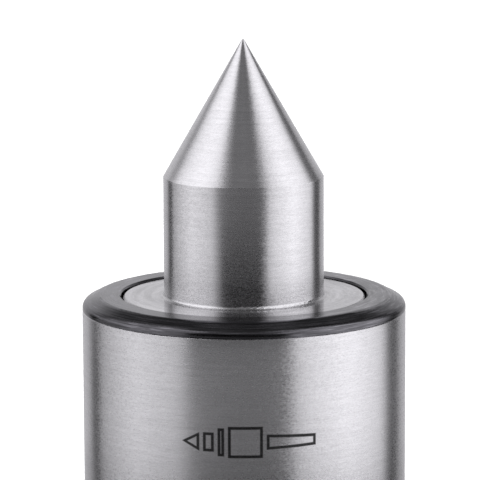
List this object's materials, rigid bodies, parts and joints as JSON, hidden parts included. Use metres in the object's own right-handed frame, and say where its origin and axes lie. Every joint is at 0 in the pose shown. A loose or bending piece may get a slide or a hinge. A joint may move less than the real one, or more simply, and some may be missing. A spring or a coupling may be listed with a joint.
{
  "type": "live center",
  "caption": "Lathe tailstock live center: 60 degree point on a bearing-mounted spindle, ground cylindrical head with a black ring nut, Morse taper 2 shank.",
  "frame": {"origin": "centre of the Morse taper's gauge plane, where the taper is 17.780 mm across", "axes": "+Z along the spindle's axis, from the shank to the 60 degree point"},
  "size_m": [0.045, 0.045, 0.1526],
  "materials": {
    "ground_steel": "ground, fine lines round the axis",
    "point_steel": "fine ground, hardened",
    "black_oxide": "black oxide, turned",
    "bearing_steel": "polished",
    "ball_steel": "mirror",
    "cage_steel": "pressed sheet",
    "spring_steel": "tempered sheet",
    "zinc_steel": "zinc plated",
    "turned_steel": "turned",
    "brass": "machined",
    "felt": "pressed wool felt",
    "rubber": "matte"
  },
  "bodies": {
    "housing_body": {"housing": "ground_steel", "ring_nut": "black_oxide", "nut_o_ring": "rubber", "felt_seal": "felt", "wave_spring": "spring_steel", "front_bearing_outer_ring": "bearing_steel", "front_bearing_shield_front": "cage_steel", "front_bearing_shield_rear": "cage_steel", "spacer_sleeve": "turned_steel", "thrust_housing_washer": "bearing_steel", "thrust_shim": "spring_steel", "needle_cup": "cage_steel"},
    "spindle_body": {"spindle": "point_steel", "front_bearing_inner_ring": "bearing_steel", "lock_washer": "zinc_steel", "lock_nut": "black_oxide", "thrust_shaft_washer": "bearing_steel"},
    "front_cage_body": {"front_bearing_cage_front": "cage_steel", "front_bearing_cage_rear": "cage_steel", "front_bearing_cage_rivets": "cage_steel"},
    "thrust_cage_body": {"thrust_cage": "brass"},
    "needle_cage_body": {"needle_cage": "cage_steel"},
    "front_ball_1_body": {"front_ball_1": "ball_steel"},
    "front_ball_2_body": {"front_ball_2": "ball_steel"},
    "front_ball_3_body": {"front_ball_3": "ball_steel"},
    "front_ball_4_body": {"front_ball_4": "ball_steel"},
    "front_ball_5_body": {"front_ball_5": "ball_steel"},
    "front_ball_6_body": {"front_ball_6": "ball_steel"},
    "front_ball_7_body": {"front_ball_7": "ball_steel"},
    "front_ball_8_body": {"front_ball_8": "ball_steel"},
    "thrust_ball_1_body": {"thrust_ball_1": "ball_steel"},
    "thrust_ball_2_body": {"thrust_ball_2": "ball_steel"},
    "thrust_ball_3_body": {"thrust_ball_3": "ball_steel"},
    "thrust_ball_4_body": {"thrust_ball_4": "ball_steel"},
    "thrust_ball_5_body": {"thrust_ball_5": "ball_steel"},
    "thrust_ball_6_body": {"thrust_ball_6": "ball_steel"},
    "thrust_ball_7_body": {"thrust_ball_7": "ball_steel"},
    "thrust_ball_8_body": {"thrust_ball_8": "ball_steel"},
    "thrust_ball_9_body": {"thrust_ball_9": "ball_steel"},
    "thrust_ball_10_body": {"thrust_ball_10": "ball_steel"},
    "needle_1_body": {"needle_1": "ball_steel"},
    "needle_2_body": {"needle_2": "ball_steel"},
    "needle_3_body": {"needle_3": "ball_steel"},
    "needle_4_body": {"needle_4": "ball_steel"},
    "needle_5_body": {"needle_5": "ball_steel"},
    "needle_6_body": {"needle_6": "ball_steel"},
    "needle_7_body": {"needle_7": "ball_steel"},
    "needle_8_body": {"needle_8": "ball_steel"},
    "needle_9_body": {"needle_9": "ball_steel"},
    "needle_10_body": {"needle_10": "ball_steel"},
    "needle_11_body": {"needle_11": "ball_steel"},
    "needle_12_body": {"needle_12": "ball_steel"},
    "needle_13_body": {"needle_13": "ball_steel"},
    "needle_14_body": {"needle_14": "ball_steel"}
  },
  "joints": [
    {"name": "spindle_spin", "type": "hinge", "parent": "housing_body", "child": "spindle_body", "pos_m": [0, 0, 0.0395], "axis": [0, 0, 1], "continuous": true},
    {"name": "front_cage_spin", "type": "hinge", "parent": "housing_body", "child": "front_cage_body", "pos_m": [0, 0, 0.0395], "axis": [0, 0, 1], "continuous": true},
    {"name": "thrust_cage_spin", "type": "hinge", "parent": "housing_body", "child": "thrust_cage_body", "pos_m": [0, 0, 0.0225], "axis": [0, 0, 1], "continuous": true},
    {"name": "needle_cage_spin", "type": "hinge", "parent": "housing_body", "child": "needle_cage_body", "pos_m": [0, 0, 0.0105], "axis": [0, 0, 1], "continuous": true},
    {"name": "front_ball_1_spin", "type": "hinge", "parent": "front_cage_body", "child": "front_ball_1_body", "pos_m": [0.0125, 0, 0.0395], "axis": [0, 0, 1], "continuous": true},
    {"name": "front_ball_2_spin", "type": "hinge", "parent": "front_cage_body", "child": "front_ball_2_body", "pos_m": [0.00884, 0.00884, 0.0395], "axis": [0, 0, 1], "continuous": true},
    {"name": "front_ball_3_spin", "type": "hinge", "parent": "front_cage_body", "child": "front_ball_3_body", "pos_m": [0, 0.0125, 0.0395], "axis": [0, 0, 1], "continuous": true},
    {"name": "front_ball_4_spin", "type": "hinge", "parent": "front_cage_body", "child": "front_ball_4_body", "pos_m": [-0.00884, 0.00884, 0.0395], "axis": [0, 0, 1], "continuous": true},
    {"name": "front_ball_5_spin", "type": "hinge", "parent": "front_cage_body", "child": "front_ball_5_body", "pos_m": [-0.0125, 0, 0.0395], "axis": [0, 0, 1], "continuous": true},
    {"name": "front_ball_6_spin", "type": "hinge", "parent": "front_cage_body", "child": "front_ball_6_body", "pos_m": [-0.00884, -0.00884, 0.0395], "axis": [0, 0, 1], "continuous": true},
    {"name": "front_ball_7_spin", "type": "hinge", "parent": "front_cage_body", "child": "front_ball_7_body", "pos_m": [0, -0.0125, 0.0395], "axis": [0, 0, 1], "continuous": true},
    {"name": "front_ball_8_spin", "type": "hinge", "parent": "front_cage_body", "child": "front_ball_8_body", "pos_m": [0.00884, -0.00884, 0.0395], "axis": [0, 0, 1], "continuous": true},
    {"name": "thrust_ball_1_spin", "type": "hinge", "parent": "thrust_cage_body", "child": "thrust_ball_1_body", "pos_m": [0.01, 0, 0.0225], "axis": [1, 0, 0], "continuous": true},
    {"name": "thrust_ball_2_spin", "type": "hinge", "parent": "thrust_cage_body", "child": "thrust_ball_2_body", "pos_m": [0.00809, 0.00588, 0.0225], "axis": [0.809, 0.5878, 0], "continuous": true},
    {"name": "thrust_ball_3_spin", "type": "hinge", "parent": "thrust_cage_body", "child": "thrust_ball_3_body", "pos_m": [0.00309, 0.00951, 0.0225], "axis": [0.309, 0.9511, 0], "continuous": true},
    {"name": "thrust_ball_4_spin", "type": "hinge", "parent": "thrust_cage_body", "child": "thrust_ball_4_body", "pos_m": [-0.00309, 0.00951, 0.0225], "axis": [-0.309, 0.9511, 0], "continuous": true},
    {"name": "thrust_ball_5_spin", "type": "hinge", "parent": "thrust_cage_body", "child": "thrust_ball_5_body", "pos_m": [-0.00809, 0.00588, 0.0225], "axis": [-0.809, 0.5878, 0], "continuous": true},
    {"name": "thrust_ball_6_spin", "type": "hinge", "parent": "thrust_cage_body", "child": "thrust_ball_6_body", "pos_m": [-0.01, 0, 0.0225], "axis": [-1, 0, 0], "continuous": true},
    {"name": "thrust_ball_7_spin", "type": "hinge", "parent": "thrust_cage_body", "child": "thrust_ball_7_body", "pos_m": [-0.00809, -0.00588, 0.0225], "axis": [-0.809, -0.5878, 0], "continuous": true},
    {"name": "thrust_ball_8_spin", "type": "hinge", "parent": "thrust_cage_body", "child": "thrust_ball_8_body", "pos_m": [-0.00309, -0.00951, 0.0225], "axis": [-0.309, -0.9511, 0], "continuous": true},
    {"name": "thrust_ball_9_spin", "type": "hinge", "parent": "thrust_cage_body", "child": "thrust_ball_9_body", "pos_m": [0.00309, -0.00951, 0.0225], "axis": [0.309, -0.9511, 0], "continuous": true},
    {"name": "thrust_ball_10_spin", "type": "hinge", "parent": "thrust_cage_body", "child": "thrust_ball_10_body", "pos_m": [0.00809, -0.00588, 0.0225], "axis": [0.809, -0.5878, 0], "continuous": true},
    {"name": "needle_1_spin", "type": "hinge", "parent": "needle_cage_body", "child": "needle_1_body", "pos_m": [0.00575, 0, 0.0105], "axis": [0, 0, 1], "continuous": true},
    {"name": "needle_2_spin", "type": "hinge", "parent": "needle_cage_body", "child": "needle_2_body", "pos_m": [0.00518, 0.00249, 0.0105], "axis": [0, 0, 1], "continuous": true},
    {"name": "needle_3_spin", "type": "hinge", "parent": "needle_cage_body", "child": "needle_3_body", "pos_m": [0.00359, 0.0045, 0.0105], "axis": [0, 0, 1], "continuous": true},
    {"name": "needle_4_spin", "type": "hinge", "parent": "needle_cage_body", "child": "needle_4_body", "pos_m": [0.00128, 0.00561, 0.0105], "axis": [0, 0, 1], "continuous": true},
    {"name": "needle_5_spin", "type": "hinge", "parent": "needle_cage_body", "child": "needle_5_body", "pos_m": [-0.00128, 0.00561, 0.0105], "axis": [0, 0, 1], "continuous": true},
    {"name": "needle_6_spin", "type": "hinge", "parent": "needle_cage_body", "child": "needle_6_body", "pos_m": [-0.00359, 0.0045, 0.0105], "axis": [0, 0, 1], "continuous": true},
    {"name": "needle_7_spin", "type": "hinge", "parent": "needle_cage_body", "child": "needle_7_body", "pos_m": [-0.00518, 0.00249, 0.0105], "axis": [0, 0, 1], "continuous": true},
    {"name": "needle_8_spin", "type": "hinge", "parent": "needle_cage_body", "child": "needle_8_body", "pos_m": [-0.00575, 0, 0.0105], "axis": [0, 0, 1], "continuous": true},
    {"name": "needle_9_spin", "type": "hinge", "parent": "needle_cage_body", "child": "needle_9_body", "pos_m": [-0.00518, -0.00249, 0.0105], "axis": [0, 0, 1], "continuous": true},
    {"name": "needle_10_spin", "type": "hinge", "parent": "needle_cage_body", "child": "needle_10_body", "pos_m": [-0.00359, -0.0045, 0.0105], "axis": [0, 0, 1], "continuous": true},
    {"name": "needle_11_spin", "type": "hinge", "parent": "needle_cage_body", "child": "needle_11_body", "pos_m": [-0.00128, -0.00561, 0.0105], "axis": [0, 0, 1], "continuous": true},
    {"name": "needle_12_spin", "type": "hinge", "parent": "needle_cage_body", "child": "needle_12_body", "pos_m": [0.00128, -0.00561, 0.0105], "axis": [0, 0, 1], "continuous": true},
    {"name": "needle_13_spin", "type": "hinge", "parent": "needle_cage_body", "child": "needle_13_body", "pos_m": [0.00359, -0.0045, 0.0105], "axis": [0, 0, 1], "continuous": true},
    {"name": "needle_14_spin", "type": "hinge", "parent": "needle_cage_body", "child": "needle_14_body", "pos_m": [0.00518, -0.00249, 0.0105], "axis": [0, 0, 1], "continuous": true}
  ],
  "couplings": [
    {"joint": "front_cage_spin", "follows": "spindle_spin", "ratio": 0.38094},
    {"joint": "thrust_cage_spin", "follows": "spindle_spin", "ratio": 0.5},
    {"joint": "needle_cage_spin", "follows": "spindle_spin", "ratio": 0.43478},
    {"joint": "front_ball_1_spin", "follows": "spindle_spin", "ratio": -1.9807},
    {"joint": "front_ball_2_spin", "follows": "spindle_spin", "ratio": -1.9807},
    {"joint": "front_ball_3_spin", "follows": "spindle_spin", "ratio": -1.9807},
    {"joint": "front_ball_4_spin", "follows": "spindle_spin", "ratio": -1.9807},
    {"joint": "front_ball_5_spin", "follows": "spindle_spin", "ratio": -1.9807},
    {"joint": "front_ball_6_spin", "follows": "spindle_spin", "ratio": -1.9807},
    {"joint": "front_ball_7_spin", "follows": "spindle_spin", "ratio": -1.9807},
    {"joint": "front_ball_8_spin", "follows": "spindle_spin", "ratio": -1.9807},
    {"joint": "thrust_ball_1_spin", "follows": "spindle_spin", "ratio": -1.7999},
    {"joint": "thrust_ball_2_spin", "follows": "spindle_spin", "ratio": -1.7999},
    {"joint": "thrust_ball_3_spin", "follows": "spindle_spin", "ratio": -1.7999},
    {"joint": "thrust_ball_4_spin", "follows": "spindle_spin", "ratio": -1.7999},
    {"joint": "thrust_ball_5_spin", "follows": "spindle_spin", "ratio": -1.7999},
    {"joint": "thrust_ball_6_spin", "follows": "spindle_spin", "ratio": -1.7999},
    {"joint": "thrust_ball_7_spin", "follows": "spindle_spin", "ratio": -1.7999},
    {"joint": "thrust_ball_8_spin", "follows": "spindle_spin", "ratio": -1.7999},
    {"joint": "thrust_ball_9_spin", "follows": "spindle_spin", "ratio": -1.7999},
    {"joint": "thrust_ball_10_spin", "follows": "spindle_spin", "ratio": -1.7999},
    {"joint": "needle_1_spin", "follows": "spindle_spin", "ratio": -3.7681},
    {"joint": "needle_2_spin", "follows": "spindle_spin", "ratio": -3.7681},
    {"joint": "needle_3_spin", "follows": "spindle_spin", "ratio": -3.7681},
    {"joint": "needle_4_spin", "follows": "spindle_spin", "ratio": -3.7681},
    {"joint": "needle_5_spin", "follows": "spindle_spin", "ratio": -3.7681},
    {"joint": "needle_6_spin", "follows": "spindle_spin", "ratio": -3.7681},
    {"joint": "needle_7_spin", "follows": "spindle_spin", "ratio": -3.7681},
    {"joint": "needle_8_spin", "follows": "spindle_spin", "ratio": -3.7681},
    {"joint": "needle_9_spin", "follows": "spindle_spin", "ratio": -3.7681},
    {"joint": "needle_10_spin", "follows": "spindle_spin", "ratio": -3.7681},
    {"joint": "needle_11_spin", "follows": "spindle_spin", "ratio": -3.7681},
    {"joint": "needle_12_spin", "follows": "spindle_spin", "ratio": -3.7681},
    {"joint": "needle_13_spin", "follows": "spindle_spin", "ratio": -3.7681},
    {"joint": "needle_14_spin", "follows": "spindle_spin", "ratio": -3.7681}
  ]
}
